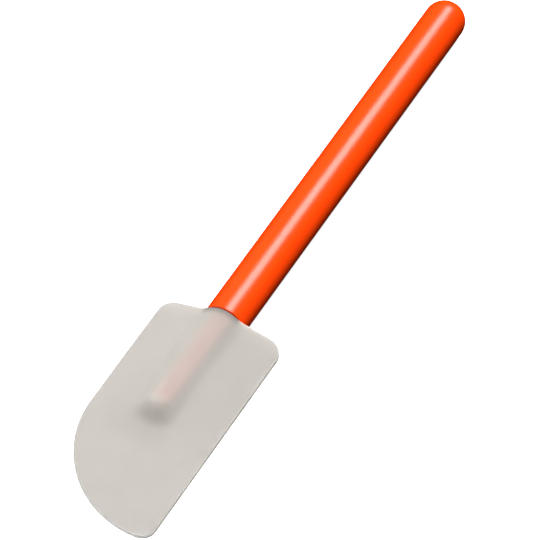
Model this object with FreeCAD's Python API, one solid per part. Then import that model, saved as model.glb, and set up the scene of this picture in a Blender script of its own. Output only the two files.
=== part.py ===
import FreeCAD, Part
import math
import os

# A kitchen spatula: a hollow moulded handle, the tang insert that plugs it, and a push-on silicone blade.
# Frame: X towards the blade's long straight side, Y along the handle to its butt, Z out of the blade's face.
# The origin is on the handle's axis, in the plane of the handle's mouth. All sizes are in millimetres.

# Handle
HANDLE_DIAMETER = 16.2
HANDLE_LENGTH = 185.6
HANDLE_WALL = 2.7
MOUTH_WALL = 1.5

# Tang insert
FLANGE_THICKNESS = 2.0
PLUG_LENGTH = 28.0
PLUG_CHAMFER = 1.2
TANG_LENGTH = 46.0
TANG_ROOT_WIDTH = 7.4
TANG_ROOT_HEIGHT = 11.0
TANG_END_WIDTH = 6.4
TANG_END_HEIGHT = 9.6
TANG_CORNER = 2.0
TANG_END_ROUND = 1.2

# Blade outline
BLADE_LENGTH = 100.6
BLADE_LEFT = 23.5
BLADE_RIGHT = 25.2
TOP_LEFT_ROUND = 5.0
TOP_RIGHT_ROUND = 6.4
TIP_ROUND = 5.3
CURVE_START = 54.0
CURVE_FULLNESS = 0.535

# Blade thickness: a thin plate with a thick root that thins out sideways and towards the tip
EDGE_THICKNESS = 2.2
RIM_BEVEL = 0.25
ROOT_THICKNESS = 11.0
ROOT_SPREAD = 24.0
ROOT_CROWN = 12.0
ROOT_LENGTH = 66.0

# Silicone around the tang: the boss on the blade's axis
BOSS_WALL = 2.0
BOSS_END_WALL = 5.8
BOSS_END_ROUND = 4.0
# Degrees that the end's rounded edge turns before it runs into the crowned end face
BOSS_END_TURN = 60
BOSS_BLEND = 4.0

# Fits
SEAM_GAP = 0.2
PLUG_CLEARANCE = 0.05
SOCKET_CLEARANCE = 0.2

# How the root runs out: a higher power holds its thickness further down the blade
RUN_OUT_POWER = 4
# Softness of the root's sideways run-out, as a share of its height
RUN_OUT_SOFTNESS = 0.05
# Spacing and overhang of the points that carry the blade's face
FACE_STEP = 3.0
FACE_MARGIN = 4.0

ORIGIN = FreeCAD.Vector(0, 0, 0)
SIDEWAYS = FreeCAD.Vector(1, 0, 0)
ALONG = FreeCAD.Vector(0, 1, 0)
UP = FreeCAD.Vector(0, 0, 1)
QUARTER_TURN = 90
FULL_TURN = 360

# Kinds of surface that tell the blade's faces apart
FACE_KINDS = {"Part::GeomBSplineSurface"}
BOSS_KINDS = {"Part::GeomCone", "Part::GeomToroid", "Part::GeomSphere"}
WALL_KINDS = {"Part::GeomPlane", "Part::GeomCylinder", "Part::GeomSurfaceOfExtrusion"}


def flat(x, y):
    return FreeCAD.Vector(x, y, 0)


def line(start, end):
    return Part.LineSegment(start, end).toShape()


def arc(centre, radius, from_degrees, to_degrees):
    angles = (from_degrees, (from_degrees + to_degrees) / 2, to_degrees)
    points = [
        centre + flat(radius * math.cos(math.radians(angle)), radius * math.sin(math.radians(angle)))
        for angle in angles
    ]
    return Part.Arc(*points).toShape()


def turned(edges):
    """A solid of revolution about the handle's axis, from a closed profile in the XY plane."""
    return Part.Face(Part.Wire(edges)).revolve(ORIGIN, ALONG, FULL_TURN)


# Handle

def capsule(radius, end):
    """A round bar from the mouth plane to a half-round end."""
    shoulder = end - radius
    return turned([
        line(flat(0, 0), flat(radius, 0)),
        line(flat(radius, 0), flat(radius, shoulder)),
        arc(flat(0, shoulder), radius, 0, QUARTER_TURN),
        line(flat(0, end), flat(0, 0)),
    ])


def make_handle():
    """A blind tube with a round butt, and a shallow seat for the insert's flange in its mouth."""
    radius = HANDLE_DIAMETER / 2
    outside = capsule(radius, HANDLE_LENGTH)
    bore = capsule(radius - HANDLE_WALL, HANDLE_LENGTH - HANDLE_WALL)
    seat = Part.makeCylinder(radius - MOUTH_WALL, FLANGE_THICKNESS, ORIGIN, ALONG)
    return outside.cut(bore).cut(seat)


# Tang insert

def tang_section(width, height, corner, y):
    """A rectangle with round corners, square to the handle's axis."""
    across = width / 2 - corner
    up = height / 2 - corner
    centres = (flat(across, up), flat(-across, up), flat(-across, -up), flat(across, -up))
    corners = [
        arc(centre, corner, quarter * QUARTER_TURN, (quarter + 1) * QUARTER_TURN)
        for quarter, centre in enumerate(centres)
    ]
    edges = []
    for before, after in zip(corners, corners[1:] + corners[:1]):
        edges.append(before)
        edges.append(line(before.valueAt(before.LastParameter), after.valueAt(after.FirstParameter)))
    section = Part.Wire(edges)
    section.rotate(ORIGIN, SIDEWAYS, QUARTER_TURN)
    return section.translated(flat(0, y))


def tapered_tang(spare, length):
    """The tang's tapered bar, grown by a spare on every side; its taper does not change with its length."""
    reach = length / TANG_LENGTH
    width = TANG_ROOT_WIDTH + (TANG_END_WIDTH - TANG_ROOT_WIDTH) * reach
    height = TANG_ROOT_HEIGHT + (TANG_END_HEIGHT - TANG_ROOT_HEIGHT) * reach
    root = tang_section(TANG_ROOT_WIDTH + 2 * spare, TANG_ROOT_HEIGHT + 2 * spare, TANG_CORNER + spare, 0)
    end = tang_section(width + 2 * spare, height + 2 * spare, TANG_CORNER + spare, -length)
    return Part.makeLoft([root, end], True, True)


def make_tang():
    """The tang with a flange in the handle's mouth and a round plug in its bore."""
    bar = tapered_tang(0, TANG_LENGTH)
    end_rim = [edge for edge in bar.Edges if edge.BoundBox.YMax < -TANG_LENGTH + TANG_END_ROUND]
    bar = bar.makeFillet(TANG_END_ROUND, end_rim)
    radius = HANDLE_DIAMETER / 2
    flange = Part.makeCylinder(radius - MOUTH_WALL - PLUG_CLEARANCE, FLANGE_THICKNESS, ORIGIN, ALONG)
    plug_end = FLANGE_THICKNESS + PLUG_LENGTH
    plug = Part.makeCylinder(radius - HANDLE_WALL - PLUG_CLEARANCE, plug_end, ORIGIN, ALONG)
    lead = [edge for edge in plug.Edges if edge.BoundBox.YMin > plug_end - PLUG_CHAMFER]
    plug = plug.makeChamfer(PLUG_CHAMFER, lead)
    return plug.fuse(flange).fuse(bar).removeSplitter()


# Blade

def outline():
    """The blade's flat outline: square shoulders, a straight right side and one big round corner."""
    top = -SEAM_GAP
    big_start = flat(-BLADE_LEFT, -CURVE_START)
    big_end = flat(BLADE_RIGHT - TIP_ROUND, -BLADE_LENGTH)
    square_corner = flat(-BLADE_LEFT, -BLADE_LENGTH)
    big_curve = Part.BezierCurve()
    big_curve.setPoles([
        big_start,
        big_start + (square_corner - big_start) * CURVE_FULLNESS,
        big_end + (square_corner - big_end) * CURVE_FULLNESS,
        big_end,
    ])
    left_centre = flat(-BLADE_LEFT + TOP_LEFT_ROUND, top - TOP_LEFT_ROUND)
    right_centre = flat(BLADE_RIGHT - TOP_RIGHT_ROUND, top - TOP_RIGHT_ROUND)
    tip_centre = flat(BLADE_RIGHT - TIP_ROUND, -BLADE_LENGTH + TIP_ROUND)
    return Part.Face(Part.Wire([
        line(flat(right_centre.x, top), flat(left_centre.x, top)),
        arc(left_centre, TOP_LEFT_ROUND, QUARTER_TURN, 2 * QUARTER_TURN),
        line(flat(-BLADE_LEFT, left_centre.y), big_start),
        big_curve.toShape(),
        arc(tip_centre, TIP_ROUND, -QUARTER_TURN, 0),
        line(flat(BLADE_RIGHT, tip_centre.y), flat(BLADE_RIGHT, right_centre.y)),
        arc(right_centre, TOP_RIGHT_ROUND, 0, QUARTER_TURN),
    ]))


def smooth_step(share):
    share = min(max(share, 0.0), 1.0)
    return share * share * (3 - 2 * share)


def half_thickness(x, y):
    """Half the plate's thickness: full root at the axis by the seam, plain plate at the edges and the tip."""
    lengthwise = 1 - smooth_step(-y / ROOT_LENGTH) ** RUN_OUT_POWER
    spread = math.hypot(ROOT_SPREAD, ROOT_CROWN) - ROOT_CROWN
    sideways = 1 - (math.hypot(x, ROOT_CROWN) - ROOT_CROWN) / spread
    sideways = (sideways + math.hypot(sideways, RUN_OUT_SOFTNESS)) / 2
    return EDGE_THICKNESS / 2 + (ROOT_THICKNESS - EDGE_THICKNESS) / 2 * lengthwise * sideways


def stations(start, end):
    count = math.ceil((end - start) / FACE_STEP)
    return [start + (end - start) * index / count for index in range(count + 1)]


def make_plate():
    """The outline, filled between the front face and its mirror image at the back."""
    across = stations(-BLADE_LEFT - FACE_MARGIN, BLADE_RIGHT + FACE_MARGIN)
    along = stations(-BLADE_LENGTH - FACE_MARGIN, FACE_MARGIN)
    front = Part.BSplineSurface()
    front.interpolate([[FreeCAD.Vector(x, y, half_thickness(x, y)) for y in along] for x in across])
    depth = 2 * ROOT_THICKNESS
    below_front = front.toShape().extrude(UP * -depth)
    above_back = below_front.mirror(ORIGIN, UP)
    prism = outline().extrude(UP * depth).translated(UP * (-depth / 2))
    return prism.common(below_front).common(above_back)


def make_boss():
    """A round boss that narrows from the handle's size to a blunt end with a rounded edge."""
    end_radius = TANG_END_HEIGHT / 2 + SOCKET_CLEARANCE + BOSS_WALL
    end = -(TANG_LENGTH + SOCKET_CLEARANCE + BOSS_END_WALL)
    turn = math.radians(BOSS_END_TURN)
    edge_inset = end_radius - BOSS_END_ROUND
    crown_radius = BOSS_END_ROUND + edge_inset / math.cos(turn)
    crown_centre = flat(0, end + crown_radius)
    edge_centre = crown_centre + flat(edge_inset, -edge_inset * math.tan(turn))
    seam_rim = flat(HANDLE_DIAMETER / 2, -SEAM_GAP)
    return turned([
        line(flat(0, -SEAM_GAP), seam_rim),
        line(seam_rim, edge_centre + flat(BOSS_END_ROUND, 0)),
        arc(edge_centre, BOSS_END_ROUND, 0, -BOSS_END_TURN),
        arc(crown_centre, crown_radius, -BOSS_END_TURN, -QUARTER_TURN),
        line(flat(0, end), flat(0, -SEAM_GAP)),
    ])


def edges_between(solid, first_kinds, second_kinds):
    """Edges where a face of one kind of surface meets a face of another."""
    found = []
    for edge in solid.Edges:
        kinds = {face.Surface.TypeId for face in solid.ancestorsOfType(edge, Part.Face)}
        if kinds & first_kinds and kinds & second_kinds:
            found.append(edge)
    return found


def make_blade():
    """The plate and its boss, blended, with a bevelled rim and a blind socket for the tang."""
    body = make_plate().fuse(make_boss()).removeSplitter()
    body = body.makeFillet(BOSS_BLEND, edges_between(body, FACE_KINDS, BOSS_KINDS))
    body = body.makeChamfer(RIM_BEVEL, edges_between(body, FACE_KINDS, WALL_KINDS))
    return body.cut(tapered_tang(SOCKET_CLEARANCE, TANG_LENGTH + SOCKET_CLEARANCE))


# Output

os.makedirs("parts", exist_ok=True)
for node, make in (("handle", make_handle), ("tang", make_tang), ("blade", make_blade)):
    (solid,) = make().Solids
    print(node, "valid" if solid.isValid() else "not valid", round(solid.Volume, 1), "mm3")
    solid.exportStep("parts/" + node + ".step")
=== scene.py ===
import math

import bpy
from mathutils import Matrix, Vector


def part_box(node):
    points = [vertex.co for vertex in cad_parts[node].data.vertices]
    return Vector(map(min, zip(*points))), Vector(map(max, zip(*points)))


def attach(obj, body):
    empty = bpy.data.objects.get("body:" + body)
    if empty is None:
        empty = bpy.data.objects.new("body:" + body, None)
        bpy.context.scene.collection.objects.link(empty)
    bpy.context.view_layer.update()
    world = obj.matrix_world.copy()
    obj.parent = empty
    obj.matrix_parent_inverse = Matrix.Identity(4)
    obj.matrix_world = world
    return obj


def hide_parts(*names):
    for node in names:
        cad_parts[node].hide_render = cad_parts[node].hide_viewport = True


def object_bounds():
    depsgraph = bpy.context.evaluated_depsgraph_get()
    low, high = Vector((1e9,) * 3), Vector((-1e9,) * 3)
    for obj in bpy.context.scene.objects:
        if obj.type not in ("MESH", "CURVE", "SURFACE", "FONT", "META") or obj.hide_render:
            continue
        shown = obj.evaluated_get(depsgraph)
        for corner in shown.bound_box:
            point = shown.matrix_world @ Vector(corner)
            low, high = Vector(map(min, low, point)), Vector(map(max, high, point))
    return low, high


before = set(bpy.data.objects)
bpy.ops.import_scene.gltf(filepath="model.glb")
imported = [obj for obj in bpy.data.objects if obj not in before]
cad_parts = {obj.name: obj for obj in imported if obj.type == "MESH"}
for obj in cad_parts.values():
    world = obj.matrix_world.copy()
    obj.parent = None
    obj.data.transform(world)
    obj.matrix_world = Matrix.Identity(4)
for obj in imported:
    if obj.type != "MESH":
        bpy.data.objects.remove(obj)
cad_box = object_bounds()

# Camera, solved from the photograph: angles in degrees, its place in metres, its sensor in millimetres
CAMERA_AZIMUTH = 27.798
CAMERA_ELEVATION = 46.372
CAMERA_DISTANCE = 1.6151
CAMERA_TARGET = Vector((0.002332, 0.031398, 0.0))
SENSOR_WIDTH = 36.0
IMAGE_WIDTH = 540
FOCAL_PIXELS = 4493.2

# Lights: where each comes from, its strength, its spread in degrees and whether it shows in gloss
LIGHTS = {
    "key": (Vector((0.03, 0.30, 0.95)), 4.8, 30.0, False),
    "strip": (Vector((0.06, 0.57, 0.81)), 1.8, 28.0, True),
    "left_fill": (Vector((-0.85, 0.10, 0.50)), 0.4, 60.0, True),
    "front_fill": (Vector((-0.35, -0.85, 0.25)), 0.9, 60.0, False),
}

# White light from all round: its strength from above and below, and how far up and down it changes
SKY_STRENGTH = 0.12
GROUND_STRENGTH = 0.06
HORIZON_REACH = 0.35
WHITE = (1.0, 1.0, 1.0, 1.0)

# Floor: its size and its drop below the object in metres, its colour and its own glow
FLOOR_SIZE = 40.0
FLOOR_DROP = 0.0002
FLOOR_COLOUR = (0.9, 0.9, 0.9, 1.0)
FLOOR_GLOW = 0.95

# The part of a noise's range that carries most of its change, and how finely a noise is broken up
NOISE_RANGE = (0.3, 0.7)
SOFT_DETAIL = 2.0
FINE_DETAIL = 3.0

# Plastic of the handle: sizes of its patterns and depth of its relief in metres
PLASTIC_IOR = 1.49
HANDLE_SHADES = ((0.885, 0.0500, 0.0005), (0.915, 0.0530, 0.0007))
HANDLE_FLOW = 0.02
HANDLE_MARKS = 0.0015
HANDLE_ROUGHNESS = (0.28, 0.31)
HANDLE_RELIEF = 0.000002
HANDLE_GLOSS = 0.62

# Plastic of the tang
TANG_SHADES = ((0.86, 0.057, 0.0028), (0.90, 0.063, 0.0032))
TANG_FLOW = 0.008
TANG_GRAIN = 0.0006
TANG_ROUGHNESS = (0.45, 0.60)
TANG_RELIEF = 0.00002

# Silicone: light scatters over the same distance, in metres, in all three colours
SILICONE_SHADES = ((0.325, 0.308, 0.287), (0.333, 0.316, 0.295))
SILICONE_CLOUD = 0.012
SILICONE_GRAIN = 0.0008
SILICONE_ROUGHNESS = (0.80, 0.90)
SILICONE_RELIEF = 0.00001
SILICONE_IOR = 1.41
SILICONE_GLOSS = 0.1
SILICONE_CLEARNESS = 0.12
SCATTER_DISTANCE = 0.006
SCATTER_SHARES = (1.0, 1.0, 1.0)

# The wall of the silicone's socket
LINING_SHADES = ((0.29, 0.29, 0.29), (0.31, 0.31, 0.31))
LINING_CLOUD = 0.006
LINING_ROUGHNESS = (0.25, 0.35)
LINING_IOR = 1.05
LINING_CLEARNESS = 1.0

# Lengths from here on are in millimetres
MILLIMETRE = 0.001
SHARP_ANGLE = math.radians(35)

# Handle
HANDLE_WALL = 2.7
MOUTH_WALL = 1.5
SEAT_DEPTH = 2.0
MOUTH_ROUND = 0.15
GROOVE_WIDTH = 0.4
GROOVE_DEPTH = 1.0
END_BAND = 0.5
HANDLE_SIDES = 96
BUTT_STEPS = 20
MOUTH_STEPS = 4
HANDLE_RINGS = 12

# Blade outline
TOP_LEFT_ROUND = 5.0
TOP_RIGHT_ROUND = 6.4
TIP_ROUND = 5.3
CURVE_START = 54.0
CURVE_FULLNESS = 0.535

# Blade thickness
EDGE_THICKNESS = 2.2
ROOT_THICKNESS = 11.0
ROOT_SPREAD = 24.0
ROOT_CROWN = 12.0
ROOT_LENGTH = 66.0
RUN_OUT_POWER = 4
RUN_OUT_SOFTNESS = 0.05
RIM_ROUND = 0.45
TOP_ROUND = 0.15
RIM_BAND = 1.0
RIM_STEPS = 5

# The boss round the tang
BOSS_END_RADIUS = 7.0
BOSS_END = 52.0
BOSS_END_ROUND = 5.0
BOSS_END_TURN = math.radians(60)
SIDE_BLEND = 2.4
END_BLEND = 4.4
BLEND_STEPS = 24

# The socket for the tang: width and height of the tang where it leaves the handle and at its end
TANG_ROOT = (7.4, 11.0)
TANG_END = (6.4, 9.6)
TANG_CORNER = 2.0
SOCKET_CLEARANCE = 0.2
SOCKET_CORNER_STEPS = 6
SOCKET_OVERLAP = 1.0

# How finely the blade's face is divided
BOSS_REACH = 9.5
BOSS_COLUMNS = 36
SIDE_COLUMNS = 12
CORNER_ROWS = 12
SIDE_ROWS = 44
CURVE_ROWS = 48

# The layer of the blade's mesh that carries the silicone's painted light and shade
PAINTED_LIGHT_LAYER = "painted_light_and_shade"

# Painted light and shade: the share by which the silicone is made paler than the plate, or darker where
# it is below zero
# Painted glow of light from behind on the thin rim at the sides and bottom, painted shade on the thick
# top wall
SIDE_PAINTED_GLOW = 1.2
BOTTOM_PAINTED_GLOW = 2.2
TOP_PAINTED_SHADE = -0.2
TOP_PAINTED_LIGHT = 0.11
SEAM_PAINTED_SHADE = -0.45
TANG_PAINTED_SHADE = -0.05
END_PAINTED_LIGHT = 0.15
SLOPE_PAINTED_LIGHT = 0.3

# How far each of these painted lights and shades reaches, and the step over which the plate's slope is
# measured
TOP_SHADE = 8.5
SEAM_SHADE = 3.8
SEAM_SIDE = 2.0
TANG_SHADE = 5.0
END_SHADE = 5.0
SLOPE_START = 4.0
SLOPE_FADE = 7.0
SLOPE_STEP = 0.5

# Light spreads through the silicone above this range of painted light and shade, and not below it
SCATTER_RANGE = (-0.4, -0.05)
SCATTER_WEIGHTS = (0.0, 1.0)


def new_object(name, vertices, faces):
    """A mesh object from points in millimetres."""
    mesh = bpy.data.meshes.new(name)
    mesh.from_pydata([Vector(point) * MILLIMETRE for point in vertices], [], faces)
    mesh.update()
    piece = bpy.data.objects.new(name, mesh)
    bpy.context.scene.collection.objects.link(piece)
    return piece


def smooth_with_sharp_edges(piece):
    piece.data.shade_smooth()
    piece.data.set_sharp_from_angle(angle=SHARP_ANGLE)


def arc(centre, radius, from_degrees, to_degrees, steps):
    """Points on an arc in a plane, with the outward direction at each."""
    found = []
    for index in range(steps + 1):
        angle = math.radians(from_degrees + (to_degrees - from_degrees) * index / steps)
        outward = Vector((math.cos(angle), math.sin(angle)))
        found.append((Vector(centre) + outward * radius, outward))
    return found


def ring_quads(ring, next_ring):
    """Quads between two closed rings of numbered points."""
    quads = []
    for place in range(len(ring)):
        after = (place + 1) % len(ring)
        quads.append((ring[place], ring[after], next_ring[after], next_ring[place]))
    return quads


# Handle

def lathe(name, profile):
    """Turns a closed profile of (radius, y) points about the Y axis; points on the axis become poles."""
    vertices = []
    rings = []
    for radius, y in profile:
        count = HANDLE_SIDES if radius > 0 else 1
        rings.append(range(len(vertices), len(vertices) + count))
        for side in range(count):
            angle = 2 * math.pi * side / count
            vertices.append((radius * math.sin(angle), y, radius * math.cos(angle)))
    faces = []
    for start, end in zip(rings, rings[1:] + rings[:1]):
        for side in range(max(len(start), len(end))):
            corners = [
                start[side % len(start)],
                start[(side + 1) % len(start)],
                end[(side + 1) % len(end)],
                end[side % len(end)],
            ]
            kept = [corner for place, corner in enumerate(corners) if corner != corners[place - 1]]
            if len(kept) > 2:
                faces.append(kept)
    return new_object(name, vertices, faces)


def make_handle(material):
    """The blind tube with its round butt, a fine groove at the mouth and the seat for the flange."""
    _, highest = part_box("handle")
    radius = highest.z / MILLIMETRE
    length = highest.y / MILLIMETRE
    seat_radius = radius - MOUTH_WALL
    bore_radius = radius - HANDLE_WALL
    groove_radius = radius - GROOVE_DEPTH
    shoulder = length - radius
    mouth_centre = (radius - MOUTH_ROUND, GROOVE_WIDTH + MOUTH_ROUND)
    mouth = arc(mouth_centre, MOUTH_ROUND, -90, 0, MOUTH_STEPS)
    butt = arc((0, shoulder), radius, 0, 90, BUTT_STEPS)
    bore_end = arc((0, shoulder), bore_radius, 90, 0, BUTT_STEPS)
    side_start = GROOVE_WIDTH + MOUTH_ROUND + END_BAND
    side_length = shoulder - END_BAND - side_start
    side_places = [side_start + side_length * ring / HANDLE_RINGS for ring in range(HANDLE_RINGS + 1)]
    profile = [(seat_radius, 0.0), (groove_radius, 0.0), (groove_radius, GROOVE_WIDTH)]
    profile += [tuple(point) for point, _ in mouth]
    profile += [(radius, y) for y in side_places]
    profile += [tuple(point) for point, _ in butt[:-1]]
    profile += [(0.0, length), (0.0, length - HANDLE_WALL)]
    profile += [tuple(point) for point, _ in bore_end[1:]]
    profile += [(bore_radius, SEAT_DEPTH), (seat_radius, SEAT_DEPTH)]
    handle = lathe("handle_shell", profile)
    smooth_with_sharp_edges(handle)
    handle.data.materials.append(material)
    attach(handle, "handle_body")
    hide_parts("handle")


# Blade form

def smooth_step(share):
    share = min(max(share, 0.0), 1.0)
    return share * share * (3 - 2 * share)


def plate_height(x, y):
    """Half the thickness of the plate with its root."""
    lengthwise = 1 - smooth_step(-y / ROOT_LENGTH) ** RUN_OUT_POWER
    spread = math.hypot(ROOT_SPREAD, ROOT_CROWN) - ROOT_CROWN
    sideways = 1 - (math.hypot(x, ROOT_CROWN) - ROOT_CROWN) / spread
    sideways = (sideways + math.hypot(sideways, RUN_OUT_SOFTNESS)) / 2
    return EDGE_THICKNESS / 2 + (ROOT_THICKNESS - EDGE_THICKNESS) / 2 * lengthwise * sideways


def plate_slope(x, y):
    """How steeply the plate thins out towards the tip."""
    return (plate_height(x, y + SLOPE_STEP) - plate_height(x, y - SLOPE_STEP)) / (2 * SLOPE_STEP)


def outside_boss(radius, distance, seam_radius):
    """How far a point lies outside the boss: its side, its end's rounded edge or its crowned end face."""
    inset = BOSS_END_RADIUS - BOSS_END_ROUND
    crown_radius = BOSS_END_ROUND + inset / math.cos(BOSS_END_TURN)
    past_crown_centre = distance - BOSS_END + crown_radius
    side_length = BOSS_END - crown_radius + inset * math.tan(BOSS_END_TURN)
    if distance <= side_length:
        return radius - seam_radius - (BOSS_END_RADIUS - seam_radius) * distance / side_length
    if radius * math.tan(BOSS_END_TURN) <= past_crown_centre:
        return math.hypot(radius, past_crown_centre) - crown_radius
    return math.hypot(radius - inset, distance - side_length) - BOSS_END_ROUND


def face_height(x, y, seam_radius):
    """Height of the face: the plate and the boss with a round blend between them."""
    plate = plate_height(x, y)
    end_share = smooth_step((BOSS_END_ROUND - y - BOSS_END) / BOSS_END_ROUND)
    blend = SIDE_BLEND + (END_BLEND - SIDE_BLEND) * end_share
    low = plate
    high = plate + seam_radius
    for _ in range(BLEND_STEPS):
        z = (low + high) / 2
        boss = outside_boss(math.hypot(x, z), -y, seam_radius)
        overlap = max(blend - abs(z - plate - boss), 0.0)
        if min(z - plate, boss) > overlap ** 2 / (4 * blend):
            high = z
        else:
            low = z
    return high


# Blade outline

def blade_sizes():
    """The blade's left, right, top and bottom in millimetres."""
    lowest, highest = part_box("blade")
    return [size / MILLIMETRE for size in (lowest.x, highest.x, highest.y, lowest.y)]


def big_curve(start, end, corner, steps):
    """The big round corner as a curve with its outward directions, without its first point."""
    handles = [start, start.lerp(corner, CURVE_FULLNESS), end.lerp(corner, CURVE_FULLNESS), end]
    spans = [after - before for before, after in zip(handles, handles[1:])]
    nothing = Vector((0, 0))
    found = []
    for index in range(1, steps + 1):
        share = index / steps
        rest = 1 - share
        weights = (rest ** 3, 3 * rest ** 2 * share, 3 * rest * share ** 2, share ** 3)
        slopes = (rest ** 2, 2 * rest * share, share ** 2)
        point = sum((handle * weight for handle, weight in zip(handles, weights)), nothing)
        along = sum((span * slope for span, slope in zip(spans, slopes)), nothing).normalized()
        found.append((point, Vector((along.y, -along.x))))
    return found


def straight(start, end, outward, steps):
    """Points on a straight side, without its first point."""
    return [(start.lerp(end, index / steps), outward) for index in range(1, steps + 1)]


def blade_sides():
    """The left and right side of the blade's outline from the top to the tip, point for point."""
    left, right, top, bottom = blade_sizes()
    curve_start = Vector((left, -CURVE_START))
    tip = Vector((right - TIP_ROUND, bottom))
    left_corner = (left + TOP_LEFT_ROUND, top - TOP_LEFT_ROUND)
    left_side = arc(left_corner, TOP_LEFT_ROUND, 90, 180, CORNER_ROWS)
    left_side += straight(left_side[-1][0], curve_start, Vector((-1, 0)), SIDE_ROWS)
    left_side += big_curve(curve_start, tip, Vector((left, bottom)), CURVE_ROWS)
    right_corner = (right - TOP_RIGHT_ROUND, top - TOP_RIGHT_ROUND)
    right_side = arc(right_corner, TOP_RIGHT_ROUND, 90, 0, CORNER_ROWS)
    level = Vector((right, -CURVE_START))
    straight_end = Vector((right, bottom + TIP_ROUND))
    right_side += straight(right_side[-1][0], level, Vector((1, 0)), SIDE_ROWS)
    right_side += straight(level, straight_end, Vector((1, 0)), CURVE_ROWS - CORNER_ROWS)
    right_side += arc((tip.x, straight_end.y), TIP_ROUND, 0, -90, CORNER_ROWS)[1:]
    return left_side, right_side


def evenly(start, end, steps):
    """Even places from a start up to, but not at, an end."""
    return [start + (end - start) * index / steps for index in range(steps)]


def columns(left, right):
    """Places across a row: even over the boss, and stretched to the outline on both sides."""
    places = evenly(left, -BOSS_REACH, SIDE_COLUMNS)
    places += evenly(-BOSS_REACH, BOSS_REACH, BOSS_COLUMNS)
    places += evenly(BOSS_REACH, right, SIDE_COLUMNS)
    places.append(right)
    return [(x - left) / (right - left) for x in places]


def face_rows(sides):
    """Rows of points across the face inside its rim; along the big curve all rows are divided alike."""
    rows = []
    shares = []
    for (left, left_out), (right, right_out) in sides:
        start = left - left_out * RIM_BAND
        end = right - right_out * RIM_BAND
        if left.y >= -CURVE_START:
            shares = columns(start.x, end.x)
        rows.append([start.lerp(end, share) for share in shares])
    return rows


def face_border(sides, width):
    """The numbers of the points round the face's edge, with the outward direction at each."""
    upward = Vector((0, 1))
    tip_row = len(sides) - 1
    _, tip_out = sides[tip_row][0]
    border = [(column, upward) for column in range(width)]
    border += [(row * width + width - 1, sides[row][1][1]) for row in range(1, tip_row)]
    border.append((tip_row * width, tip_out))
    border += [(row * width, sides[row][0][1]) for row in range(tip_row - 1, 0, -1)]
    return border


def face_quads(row_count, width):
    """Quads between the face's rows, and triangles from its last row to the tip."""
    quads = []
    for row in range(row_count - 1):
        for column in range(width - 1):
            first = row * width + column
            quads.append((first, first + width, first + width + 1, first + 1))
    tip = row_count * width
    last_row = tip - width
    quads += [(last_row + column, tip, last_row + column + 1) for column in range(width - 1)]
    return quads


def rim_place(point, outward, step):
    """Where a ring of the rim lies and how far it drops: crisp at the top and rounded elsewhere."""
    radius = RIM_ROUND + (TOP_ROUND - RIM_ROUND) * max(outward.y, 0)
    angle = math.pi / 2 * step / RIM_STEPS
    reach = RIM_BAND - radius + radius * math.sin(angle)
    return point + outward * reach, radius * (1 - math.cos(angle))


# Blade shades

def face_painted_light_and_shade(point, seam_radius):
    """Painted shade beside the seam and over the tang; painted light at the boss's end, the top edge and
    the slope.
    """
    # Painted shade beside the seam, where the handle meets the silicone
    beside = 1 - smooth_step(-point.y / SEAM_SHADE)
    across = smooth_step((seam_radius - abs(point.x)) / SEAM_SIDE)
    # Painted shade over the tang
    above_end = smooth_step((BOSS_END + point.y) / TANG_SHADE)
    over_tang = (1 - smooth_step(abs(point.x) / TANG_SHADE)) * above_end
    # Painted light at the boss's rounded end
    past_end = math.hypot(point.x, point.y + BOSS_END - BOSS_END_ROUND / 2)
    at_end = 1 - smooth_step(past_end / END_SHADE)
    # Painted light near the top edge, away from the seam
    painted_top_light = TOP_PAINTED_LIGHT * (1 - smooth_step(-point.y / TOP_SHADE)) * (1 - across)
    # Painted light on the slope to the tip beside the boss
    aside = smooth_step((abs(point.x) - SLOPE_START) / SLOPE_FADE)
    painted_slope_light = SLOPE_PAINTED_LIGHT * aside * plate_slope(point.x, point.y)
    painted_on_boss = SEAM_PAINTED_SHADE * beside * across + TANG_PAINTED_SHADE * over_tang + END_PAINTED_LIGHT * at_end
    return painted_on_boss + painted_top_light + painted_slope_light


def rim_painted_glow(outward):
    """A painted glow on the thin rim stands in for light from behind, most of all at the bottom; the
    thick top gets painted shade.
    """
    end_paleness = TOP_PAINTED_SHADE if outward.y > 0 else BOTTOM_PAINTED_GLOW
    return SIDE_PAINTED_GLOW + (end_paleness - SIDE_PAINTED_GLOW) * abs(outward.y)


# Blade pieces

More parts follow.
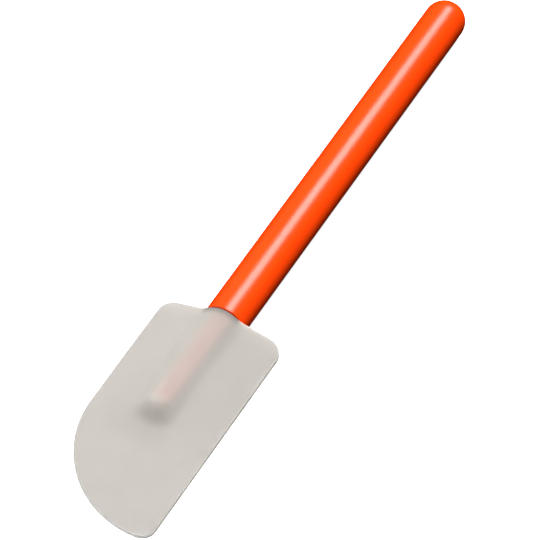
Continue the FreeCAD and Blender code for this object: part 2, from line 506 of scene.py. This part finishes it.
def make_blank():
    """The whole blade without its socket: two faces, a rounded rim and the wall between them."""
    _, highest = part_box("blade")
    seam_radius = highest.z / MILLIMETRE
    sides = list(zip(*blade_sides()))
    rows = face_rows(sides[:-1])
    width = len(rows[0])
    tip, tip_out = sides[-1][0]
    flat_points = [point for row in rows for point in row] + [tip - tip_out * RIM_BAND]
    border = face_border(sides, width)
    quads = face_quads(len(rows), width)
    vertices = [(point.x, point.y, face_height(point.x, point.y, seam_radius)) for point in flat_points]
    # Painted light and shade for each point, carried to the silicone's colour by a layer of the mesh
    painted_light_and_shade = [face_painted_light_and_shade(point, seam_radius) for point in flat_points]
    ring = [index for index, _ in border]
    for step in range(RIM_STEPS + 1):
        next_ring = list(range(len(vertices), len(vertices) + len(border)))
        for index, outward in border:
            point, drop = rim_place(flat_points[index], outward, step)
            vertices.append((point.x, point.y, face_height(point.x, point.y, seam_radius) - drop))
            # Painted glow on the rim, growing towards its wall
            rim_painted_light = 1 + rim_painted_glow(outward) * (step / RIM_STEPS) ** 2
            painted_light_and_shade.append((1 + face_painted_light_and_shade(point, seam_radius)) * rim_painted_light - 1)
        quads += ring_quads(ring, next_ring)
        ring = next_ring

    # The back is the front's mirror image
    count = len(vertices)
    vertices += [(x, y, -z) for x, y, z in vertices]
    faces = quads + [tuple(count + corner for corner in reversed(quad)) for quad in quads]
    faces += ring_quads(ring, [count + corner for corner in ring])
    blank = new_object("blade_body_silicone", vertices, faces)
    layer = blank.data.attributes.new(PAINTED_LIGHT_LAYER, "FLOAT", "POINT")
    layer.data.foreach_set("value", painted_light_and_shade + painted_light_and_shade)
    return blank


def socket_section(width, height, corner, y):
    """A rectangle with round corners, square to the handle's axis."""
    across = width / 2 - corner
    up = height / 2 - corner
    centres = ((across, up), (-across, up), (-across, -up), (across, -up))
    points = []
    for quarter, centre in enumerate(centres):
        start = 90 * quarter
        points += arc(centre, corner, start, start + 90, SOCKET_CORNER_STEPS)
    return [(point.x, y, point.y) for point, _ in points]


def make_socket(reach):
    """A solid of the tapered hole for the tang, from just outside the seam to past the tang's end."""
    spare = SOCKET_CLEARANCE
    sections = []
    for distance in (-SOCKET_OVERLAP, reach + spare):
        share = distance / reach
        tang_sizes = zip(TANG_ROOT, TANG_END)
        width, height = (root + (end - root) * share + 2 * spare for root, end in tang_sizes)
        sections.append(socket_section(width, height, TANG_CORNER + spare, -distance))
    near_points, far_points = sections
    near = range(len(near_points))
    far = range(len(near), 2 * len(near))
    faces = [tuple(reversed(near)), tuple(far)] + ring_quads(near, far)
    return new_object("socket", near_points + far_points, faces)


def make_blade(material, lining):
    """The silicone blade with a real socket, whose wall has its own material."""
    lowest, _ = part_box("tang")
    blade = make_blank()
    blade.data.materials.append(material)
    socket = make_socket(-lowest.y / MILLIMETRE)
    socket.data.materials.append(lining)
    cut = blade.modifiers.new("socket", "BOOLEAN")
    cut.operation = "DIFFERENCE"
    cut.solver = "EXACT"
    cut.material_mode = "TRANSFER"
    cut.object = socket
    cut_blade = blade.evaluated_get(bpy.context.evaluated_depsgraph_get())
    finished = bpy.data.meshes.new_from_object(cut_blade)
    blade.modifiers.clear()
    blade.data = finished
    bpy.data.objects.remove(socket)
    smooth_with_sharp_edges(blade)
    blade.visible_shadow = False
    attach(blade, "blade_body")
    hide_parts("blade")


# Materials

def new_material(name):
    material = bpy.data.materials.new(name)
    material.use_nodes = True
    return material, material.node_tree, material.node_tree.nodes["Principled BSDF"]


def add_noise(tree, size, detail):
    """Noise in the object's own space, with features of the given size in metres."""
    place = tree.nodes.new("ShaderNodeTexCoord")
    noise = tree.nodes.new("ShaderNodeTexNoise")
    noise.inputs["Scale"].default_value = 1 / size
    noise.inputs["Detail"].default_value = detail
    tree.links.new(place.outputs["Object"], noise.inputs["Vector"])
    return noise.outputs["Fac"]


def vary_colour(tree, source, shades):
    """A colour that drifts between two near shades."""
    ramp = tree.nodes.new("ShaderNodeValToRGB")
    for element, place, shade in zip(ramp.color_ramp.elements, NOISE_RANGE, shades):
        element.position = place
        element.color = (*shade, 1.0)
    tree.links.new(source, ramp.inputs["Fac"])
    return ramp.outputs["Color"]


def vary_number(tree, source, values, source_range=NOISE_RANGE):
    """A number that drifts between two values as its source runs through a range."""
    spread = tree.nodes.new("ShaderNodeMapRange")
    for name, value in zip(("From Min", "From Max", "To Min", "To Max"), (*source_range, *values)):
        spread.inputs[name].default_value = value
    tree.links.new(source, spread.inputs["Value"])
    return spread.outputs["Result"]


def scale_colour(tree, colour, painted_light_and_shade):
    """A colour times one plus its painted light and shade."""
    factor = tree.nodes.new("ShaderNodeMath")
    factor.operation = "ADD"
    factor.inputs[1].default_value = 1.0
    scaled = tree.nodes.new("ShaderNodeVectorMath")
    scaled.operation = "SCALE"
    tree.links.new(painted_light_and_shade, factor.inputs[0])
    tree.links.new(colour, scaled.inputs["Vector"])
    tree.links.new(factor.outputs["Value"], scaled.inputs["Scale"])
    return scaled.outputs["Vector"]


def add_bump(tree, shader, source, depth):
    """Fine relief of the given depth in metres."""
    bump = tree.nodes.new("ShaderNodeBump")
    bump.inputs["Distance"].default_value = depth
    tree.links.new(source, bump.inputs["Height"])
    tree.links.new(bump.outputs["Normal"], shader.inputs["Normal"])


def handle_plastic():
    """Glossy moulded plastic with a faint flow pattern and fine handling marks."""
    material, tree, shader = new_material("handle_plastic")
    flow = add_noise(tree, HANDLE_FLOW, SOFT_DETAIL)
    marks = add_noise(tree, HANDLE_MARKS, FINE_DETAIL)
    tree.links.new(vary_colour(tree, flow, HANDLE_SHADES), shader.inputs["Base Color"])
    tree.links.new(vary_number(tree, marks, HANDLE_ROUGHNESS), shader.inputs["Roughness"])
    add_bump(tree, shader, marks, HANDLE_RELIEF)
    shader.inputs["IOR"].default_value = PLASTIC_IOR
    shader.inputs["Specular IOR Level"].default_value = HANDLE_GLOSS
    return material


def tang_plastic():
    """The same plastic as moulded, with a fine matte grain."""
    material, tree, shader = new_material("tang_plastic")
    flow = add_noise(tree, TANG_FLOW, SOFT_DETAIL)
    grain = add_noise(tree, TANG_GRAIN, FINE_DETAIL)
    tree.links.new(vary_colour(tree, flow, TANG_SHADES), shader.inputs["Base Color"])
    tree.links.new(vary_number(tree, grain, TANG_ROUGHNESS), shader.inputs["Roughness"])
    add_bump(tree, shader, grain, TANG_RELIEF)
    shader.inputs["IOR"].default_value = PLASTIC_IOR
    return material


def silicone():
    """Milky silicone: light scatters in it, a little passes through, and painted light and shade vary its
    colour, with a painted glow on its thin rim.
    """
    material, tree, shader = new_material("silicone")
    cloud = add_noise(tree, SILICONE_CLOUD, FINE_DETAIL)
    grain = add_noise(tree, SILICONE_GRAIN, FINE_DETAIL)
    # Painted light and shade from the blade's mesh layer scale the silicone's colour and thin out its
    # scattering
    layer = tree.nodes.new("ShaderNodeAttribute")
    layer.attribute_name = PAINTED_LIGHT_LAYER
    painted_light_and_shade = layer.outputs["Fac"]
    colour = scale_colour(tree, vary_colour(tree, cloud, SILICONE_SHADES), painted_light_and_shade)
    scatter = vary_number(tree, painted_light_and_shade, SCATTER_WEIGHTS, SCATTER_RANGE)
    tree.links.new(colour, shader.inputs["Base Color"])
    tree.links.new(vary_number(tree, grain, SILICONE_ROUGHNESS), shader.inputs["Roughness"])
    tree.links.new(scatter, shader.inputs["Subsurface Weight"])
    add_bump(tree, shader, grain, SILICONE_RELIEF)
    shader.inputs["IOR"].default_value = SILICONE_IOR
    shader.inputs["Specular IOR Level"].default_value = SILICONE_GLOSS
    shader.inputs["Transmission Weight"].default_value = SILICONE_CLEARNESS
    shader.inputs["Subsurface Radius"].default_value = SCATTER_SHARES
    shader.inputs["Subsurface Scale"].default_value = SCATTER_DISTANCE
    return material


def socket_lining():
    """The smooth wall of the socket, which light passes on its way to the tang."""
    material, tree, shader = new_material("silicone_lining")
    cloud = add_noise(tree, LINING_CLOUD, SOFT_DETAIL)
    tree.links.new(vary_colour(tree, cloud, LINING_SHADES), shader.inputs["Base Color"])
    tree.links.new(vary_number(tree, cloud, LINING_ROUGHNESS), shader.inputs["Roughness"])
    shader.inputs["IOR"].default_value = LINING_IOR
    shader.inputs["Transmission Weight"].default_value = LINING_CLEARNESS
    return material


def dress(node, material):
    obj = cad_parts[node]
    obj.data.materials.clear()
    obj.data.materials.append(material)


# Studio

def make_floor(height):
    """A pale floor just under the object; it sends the object no light."""
    half = FLOOR_SIZE / 2
    mesh = bpy.data.meshes.new("floor")
    flat_corners = ((-half, -half), (half, -half), (half, half), (-half, half))
    mesh.from_pydata([(x, y, height) for x, y in flat_corners], [], [(0, 1, 2, 3)])
    floor = bpy.data.objects.new("floor", mesh)
    bpy.context.scene.collection.objects.link(floor)
    material, _, shader = new_material("floor")
    shader.inputs["Base Color"].default_value = FLOOR_COLOUR
    shader.inputs["Roughness"].default_value = 1.0
    shader.inputs["Specular IOR Level"].default_value = 0.0
    shader.inputs["Emission Color"].default_value = WHITE
    shader.inputs["Emission Strength"].default_value = FLOOR_GLOW
    mesh.materials.append(material)
    floor.visible_diffuse = False
    floor.visible_glossy = False
    floor.visible_transmission = False


def make_world():
    """White light from all round, stronger from above, that doesn't show in gloss."""
    world = bpy.data.worlds.new("studio")
    world.use_nodes = True
    tree = world.node_tree
    background = tree.nodes["Background"]
    place = tree.nodes.new("ShaderNodeTexCoord")
    split = tree.nodes.new("ShaderNodeSeparateXYZ")
    tree.links.new(place.outputs["Generated"], split.inputs["Vector"])
    strengths = (GROUND_STRENGTH, SKY_STRENGTH)
    strength = vary_number(tree, split.outputs["Z"], strengths, (-HORIZON_REACH, HORIZON_REACH))
    tree.links.new(strength, background.inputs["Strength"])
    background.inputs["Color"].default_value = WHITE
    bpy.context.scene.world = world
    world.cycles_visibility.glossy = False


def make_light(name, direction, strength, spread, in_gloss):
    light = bpy.data.lights.new(name, "SUN")
    light.energy = strength
    light.angle = math.radians(spread)
    lamp = bpy.data.objects.new(name, light)
    bpy.context.scene.collection.objects.link(lamp)
    lamp.rotation_mode = "QUATERNION"
    lamp.rotation_quaternion = direction.normalized().to_track_quat("Z", "Y")
    lamp.visible_glossy = in_gloss


def make_camera():
    azimuth = math.radians(CAMERA_AZIMUTH)
    elevation = math.radians(CAMERA_ELEVATION)
    back = Vector((
        math.sin(azimuth) * math.cos(elevation),
        -math.cos(azimuth) * math.cos(elevation),
        math.sin(elevation),
    ))
    right = Vector((math.cos(azimuth), math.sin(azimuth), 0.0))
    up = back.cross(right)
    data = bpy.data.cameras.new("camera")
    data.sensor_width = SENSOR_WIDTH
    data.lens = FOCAL_PIXELS * SENSOR_WIDTH / IMAGE_WIDTH
    camera = bpy.data.objects.new("camera", data)
    turn = Matrix((right, up, back)).transposed().to_4x4()
    camera.matrix_world = Matrix.Translation(CAMERA_TARGET + back * CAMERA_DISTANCE) @ turn
    bpy.context.scene.collection.objects.link(camera)
    bpy.context.scene.camera = camera


bpy.context.scene.view_settings.view_transform = "Standard"
make_handle(handle_plastic())
dress("tang", tang_plastic())
make_blade(silicone(), socket_lining())
make_floor(cad_box[0].z - FLOOR_DROP)
make_world()
for light_name, light_values in LIGHTS.items():
    make_light(light_name, *light_values)
make_camera()
